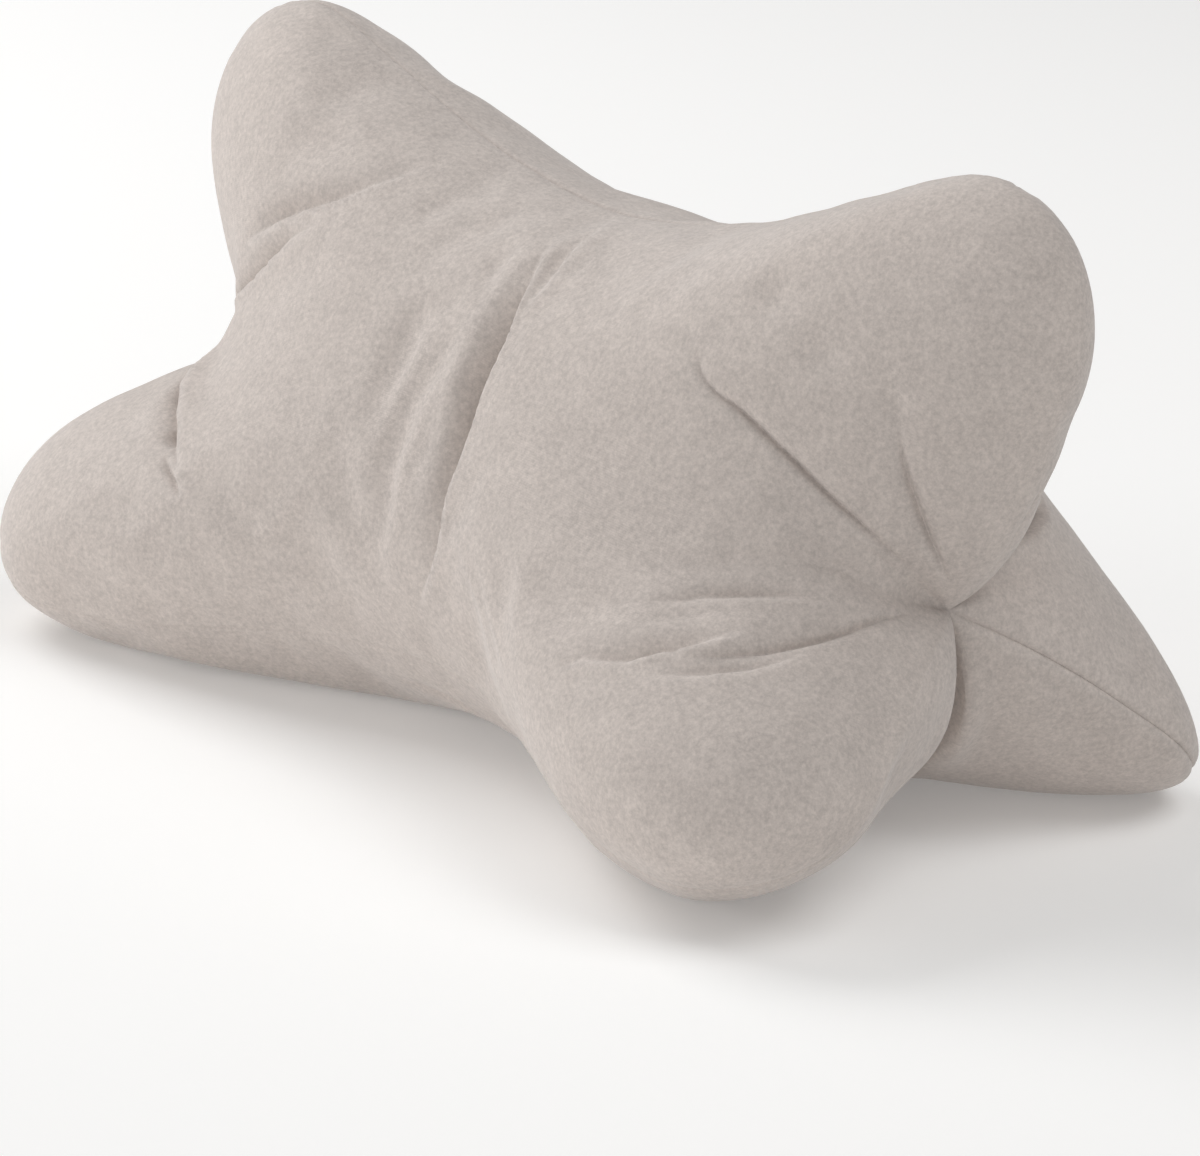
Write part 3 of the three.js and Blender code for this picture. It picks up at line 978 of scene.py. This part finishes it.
# %% The filling's own unevenness
LUMPS = ((85, 1.3), (38, 0.5), (17, 0.18))      # size and height of the lumps, in mm


def lumps(rest):
    height = np.zeros(len(rest))
    for size, tall in LUMPS:
        height += tall * np.array([noise.noise(Vector(p)) for p in rest / size + SEED])
    return height


print("lumps:", len(LUMPS), "sizes")

# %% Grooves and edges of the seams
SEAM_DEPTH, SEAM_WIDTH = 0.6, 4.0       # mm, the soft valley along a seam
THREAD_DEPTH, THREAD_WIDTH = 1.6, 0.9   # and the fine line in its bottom
EDGE_WIDTH = 7.5                        # over which a standing edge falls off
# Some stretches of a seam are drawn in to a groove, and some stand up as an edge. Each row
# gives how far along, how much of the groove shows there, and how many mm the edge stands up.
SEAM_LOOKS = {
    "top": [(0.0, 0.0, 0.0), (0.1, 0.3, 0.4), (0.6, 0.5, 0.3), (1.1, 0.9, 0.0), (2.0, 0.9, 0.0)],
    "front": [
        (0.0, 0.0, 0.0), (0.06, 0.05, 1.8), (0.25, 0.1, 2.6), (0.36, 0.6, 1.4), (0.6, 0.5, 0.6),
        (0.95, 0.4, 0.8), (1.5, 0.7, 0.8), (2.0, 0.3, 0.0),
    ],
    "back": [
        (0.0, 0.2, 0.0), (0.04, 0.8, 0.0), (0.1, 1.0, 0.2), (0.3, 1.0, 0.3), (1.9, 1.0, 0.0),
        (2.0, 0.2, 0.0),
    ],
}


def seam_sink(panel, along, across, rest):
    gap = seam_gap(panel, along, across, rest)
    sink = np.zeros(len(gap))
    groove = SEAM_DEPTH * np.exp(-(gap / SEAM_WIDTH) ** 2)
    groove += THREAD_DEPTH * np.exp(-gap / THREAD_WIDTH)
    edge = np.exp(-gap / EDGE_WIDTH)
    for index, name in enumerate(PANELS):
        halves = ((PANELS[name].first, across < 0.5), (PANELS[name].second, across >= 0.5))
        for row_name, near in halves:
            here = (panel == index) & near
            stops, shows, stands = zip(*SEAM_LOOKS[row_name])
            sink[here] = groove[here] * np.interp(along[here], stops, shows)
            sink[here] -= edge[here] * np.interp(along[here], stops, stands)
    return sink


# %% Sink and press flat
FLOOR_ROUND = 1.5       # mm over which the cloth turns onto the floor
# In FLOOR_ROUNDs: below the first the cloth lies flat, and above the second it is left alone.
FLAT_BELOW, FREE_ABOVE = -40, 20


def rest_on_floor(height):
    low = height / (FLOOR_ROUND * MM)
    soft = np.log1p(np.exp(low.clip(FLAT_BELOW, FREE_ABOVE)))
    return FLOOR_ROUND * MM * np.where(low > FREE_ABOVE, low, soft)


def finish_cloth(mesh):
    rest, panel, along, across = rest_points(mesh)
    sink = -lumps(rest)
    for crease, line in LINES + PUCKERS:
        reach = REACH * max(crease.left, crease.right)
        which, left, run = near_line(rest, line, reach)
        sink[which] += crease_depth(crease, left, run)
    sink += seam_sink(panel, along, across, rest)
    points = read_points(mesh) - read_normals(mesh) * sink[:, None] * MM
    points[:, 2] = rest_on_floor(points[:, 2])
    write_points(mesh, points)


finish_cloth(pillow.data)
pillow.data.shade_smooth()
finished = read_points(pillow.data)
print("pillow's corners:", finished.min(0), finished.max(0))

# %% [markdown]
# ## Marled jersey
#
# The cover is a fine brushed jersey in a warm grey. Its yarn is marled, spun from paler and
# darker fibres, and the brushing blurs them into tiny flecks with faint clouds between. An image
# could give that, but it would stretch and show its repeats. So noise in the object's own space
# makes the marl, of one size everywhere, and only the knit's relief follows the flat pattern:
# columns of slanting stitches, about a millimetre apart. A group holds both, with the cloth's
# real sizes as inputs, and the shader stays in the material itself.

# %% Helpers for nodes
Specks = namedtuple("Specks", "scale detail rough share")


def set_inputs(node, values):
    for name, value in values.items():
        node.inputs[name].default_value = value


def maths(tree, operation, *inputs):
    node = tree.nodes.new("ShaderNodeMath")
    node.operation = operation
    for slot, value in enumerate(inputs):
        if isinstance(value, (int, float)):
            node.inputs[slot].default_value = value
        else:
            tree.links.new(value, node.inputs[slot])
    return node.outputs[0]


def specks(tree, where, look):
    node = tree.nodes.new("ShaderNodeTexNoise")
    set_inputs(node, {"Scale": look.scale, "Detail": look.detail, "Roughness": look.rough})
    tree.links.new(where, node.inputs["Vector"])
    return node.outputs["Fac"]


# %% The knit's relief
STITCH_SLOPE = 2.2      # how far the stitches of a column slant
HALF = 0.5


def knit_relief(tree, cloth, columns):
    split = tree.nodes.new("ShaderNodeSeparateXYZ")
    tree.links.new(cloth, split.inputs[0])
    turn = maths(tree, "MULTIPLY", columns, 2 * math.pi)
    column = maths(tree, "SINE", maths(tree, "MULTIPLY", split.outputs["Y"], turn))
    slope = maths(tree, "MULTIPLY", maths(tree, "ABSOLUTE", column), STITCH_SLOPE)
    course = maths(tree, "MULTIPLY", split.outputs["X"], turn)
    stitch = maths(tree, "SINE", maths(tree, "ADD", course, slope))
    half_column = maths(tree, "MULTIPLY", column, HALF)
    return maths(tree, "ADD", half_column, maths(tree, "MULTIPLY", stitch, HALF))


# %% The yarn's marl
FLECKS = Specks(380.0, 2.5, 0.85, 0.8)
CLOUDS = Specks(70.0, 2.0, 0.6, 0.2)
MARL_MIDDLE = 0.5       # an even mix of the two fibres
MARL_SPREAD = 3.0       # noise stays near its middle, so it is drawn apart


def marl_amount(tree, flecks, where, contrast):
    clouds = specks(tree, where, CLOUDS)
    shares = maths(tree, "MULTIPLY", flecks, FLECKS.share)
    marl = maths(tree, "ADD", shares, maths(tree, "MULTIPLY", clouds, CLOUDS.share))
    centred = maths(tree, "SUBTRACT", marl, MARL_MIDDLE)
    spread = maths(tree, "MULTIPLY", centred, MARL_SPREAD)
    return maths(tree, "ADD", maths(tree, "MULTIPLY", spread, contrast), MARL_MIDDLE)


# %% Group of the knit
KNIT_SHARE = 0.5        # of the relief, beside the flecks
KNIT_INPUTS = {
    "Cloth": "NodeSocketVector",
    "Place": "NodeSocketVector",
    "Yarn": "NodeSocketColor",
    "Dark fibre": "NodeSocketColor",
    "Columns per metre": "NodeSocketFloat",
    "Fleck contrast": "NodeSocketFloat",
}
KNIT_OUTPUTS = {"Color": "NodeSocketColor", "Height": "NodeSocketFloat"}


def knit_group():
    tree = bpy.data.node_groups.new("marled knit", "ShaderNodeTree")
    for sockets, way in ((KNIT_INPUTS, "INPUT"), (KNIT_OUTPUTS, "OUTPUT")):
        for name, kind in sockets.items():
            tree.interface.new_socket(name, in_out=way, socket_type=kind)
    inside = tree.nodes.new("NodeGroupInput").outputs
    outside = tree.nodes.new("NodeGroupOutput").inputs

    knit = knit_relief(tree, inside["Cloth"], inside["Columns per metre"])
    flecks = specks(tree, inside["Place"], FLECKS)
    mix = tree.nodes.new("ShaderNodeMix")
    mix.data_type = "RGBA"
    mix.clamp_factor = True
    amount = marl_amount(tree, flecks, inside["Place"], inside["Fleck contrast"])
    tree.links.new(amount, mix.inputs["Factor"])
    tree.links.new(inside["Yarn"], mix.inputs["A"])
    tree.links.new(inside["Dark fibre"], mix.inputs["B"])
    tree.links.new(mix.outputs["Result"], outside["Color"])
    height = maths(tree, "ADD", maths(tree, "MULTIPLY", knit, KNIT_SHARE), flecks)
    tree.links.new(height, outside["Height"])
    return tree


# %% The jersey
YARN = {
    "Yarn": (0.625, 0.558, 0.515, 1),
    "Dark fibre": (0.455, 0.407, 0.378, 1),
    "Columns per metre": 900.0,
    "Fleck contrast": 1.0,
}
# Brushed fibres scatter light, glow a little at grazing angles and hardly shine.
BRUSHED = {
    "Roughness": 0.92,
    "Specular IOR Level": 0.15,
    "Sheen Weight": 0.25,
    "Sheen Roughness": 0.45,
}
RELIEF = {"Strength": 0.22, "Distance": 0.0002}     # the distance is in metres


def jersey():
    material = bpy.data.materials.new("marled jersey")
    material.use_nodes = True
    nodes, links = material.node_tree.nodes, material.node_tree.links
    shader = nodes["Principled BSDF"]
    cloth = nodes.new("ShaderNodeUVMap")
    cloth.uv_map = "cloth"
    place = nodes.new("ShaderNodeTexCoord")
    knit = nodes.new("ShaderNodeGroup")
    knit.node_tree = knit_group()
    bump = nodes.new("ShaderNodeBump")
    for node, values in ((shader, BRUSHED), (knit, YARN), (bump, RELIEF)):
        set_inputs(node, values)
    links.new(cloth.outputs["UV"], knit.inputs["Cloth"])
    links.new(place.outputs["Object"], knit.inputs["Place"])
    links.new(knit.outputs["Color"], shader.inputs["Base Color"])
    links.new(knit.outputs["Height"], bump.inputs["Height"])
    links.new(bump.outputs["Normal"], shader.inputs["Normal"])
    return material


pillow.data.materials.clear()
pillow.data.materials.append(jersey())
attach(pillow, "root")
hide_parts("pillow")
print("cover wears:", pillow.data.materials[0].name)

# %% [markdown]
# ## Floor and light
#
# The picture's light is very soft and comes from all round, most of it from the left. One lamp
# would throw a hard shadow, so four big softboxes and a dim pale world give it. The plain pale
# floor glows faintly, as the top of a light table does, which keeps it near white and lifts the
# pillow's underside, and it still carries a soft shadow.

# %% Floor
FLOOR_SIDE = 14.0       # metres
WHITE = (1, 1, 1, 1)
FLOOR_SHADE = {
    "Base Color": (0.90, 0.895, 0.885, 1),
    "Roughness": 0.9,
    "Emission Color": WHITE,
    "Emission Strength": 0.14,
}
floor_mesh = bmesh.new()
bmesh.ops.create_grid(floor_mesh, x_segments=1, y_segments=1, size=FLOOR_SIDE / 2)
floor = bpy.data.objects.new("floor", bpy.data.meshes.new("floor"))
floor_mesh.to_mesh(floor.data)
floor_mesh.free()
floor_paint = bpy.data.materials.new("floor")
floor_paint.use_nodes = True
set_inputs(floor_paint.node_tree.nodes["Principled BSDF"], FLOOR_SHADE)
floor.data.materials.append(floor_paint)
scene.collection.objects.link(floor)
print("floor:", FLOOR_SIDE, "m wide")

# %% Light
WORLD_LIGHT = 0.24
SOFTBOX_FROM = 3.2      # metres
SOFTBOX_SIDE = 2.0
# Round is in degrees from +X towards +Y, and above in degrees above the floor.
Softbox = namedtuple("Softbox", "name round above watts")
SOFTBOXES = [
    Softbox("left", 230, 4, 53),
    Softbox("front fill", 310, 4, 25.5),
    Softbox("high left", 190, 45, 51),
    Softbox("high right", 30, 60, 35),
]

scene.world = bpy.data.worlds.new("pale room")
scene.world.use_nodes = True
sky = scene.world.node_tree.nodes["Background"]
set_inputs(sky, {"Color": WHITE, "Strength": WORLD_LIGHT})
scene.view_settings.view_transform = "Standard"

for box in SOFTBOXES:
    light = bpy.data.objects.new(box.name, bpy.data.lights.new(box.name, "AREA"))
    light.data.shape = "SQUARE"
    light.data.size = SOFTBOX_SIDE
    light.data.energy = box.watts
    above = math.radians(box.above)
    towards = Vector((
        math.cos(math.radians(box.round)) * math.cos(above),
        math.sin(math.radians(box.round)) * math.cos(above),
        math.sin(above),
    ))
    light.location = towards * SOFTBOX_FROM
    light.rotation_mode = "QUATERNION"
    light.rotation_quaternion = towards.to_track_quat("Z", "Y")
    light.visible_camera = False
    scene.collection.objects.link(light)
print("softboxes:", len(SOFTBOXES))
